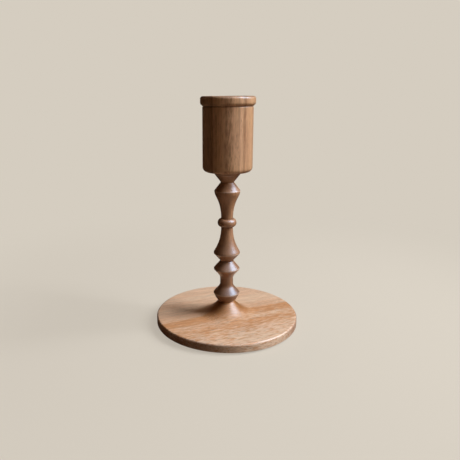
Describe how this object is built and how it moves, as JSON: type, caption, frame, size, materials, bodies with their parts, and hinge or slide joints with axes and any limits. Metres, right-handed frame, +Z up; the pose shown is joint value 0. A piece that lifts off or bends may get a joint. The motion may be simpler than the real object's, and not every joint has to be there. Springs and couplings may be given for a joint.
{
  "type": "candle holder",
  "caption": "Turned wooden candle holder: thin round foot with a central flare, slender beaded spindle and a plain cylindrical candle cup with a rim band and brass liner.",
  "frame": {"origin": "on the turning axis, in the plane the felt pad stands on", "axes": "+Z up along the turning axis, towards the candle cup; X and Y are any two level directions, with the foot's wood grain running about 22 degrees from +X towards +Y"},
  "size_m": [0.12, 0.12, 0.1894],
  "materials": {
    "foot_wood": "light tan wood, satin oil, straight grain across the disc",
    "stem_wood": "dark red-brown wood, satin lacquer, grain along the spindle",
    "cup_wood": "mid brown wood, satin lacquer, grain along the cup",
    "liner_brass": "spun brass, satin",
    "screw_steel": "zinc-plated steel",
    "pad_felt": "dark green felt"
  },
  "bodies": {
    "root": {"base": "foot_wood", "stem": "stem_wood", "candle_cup": "cup_wood", "candle_insert": "liner_brass", "base_screw": "screw_steel", "felt_pad": "pad_felt"}
  },
  "joints": []
}
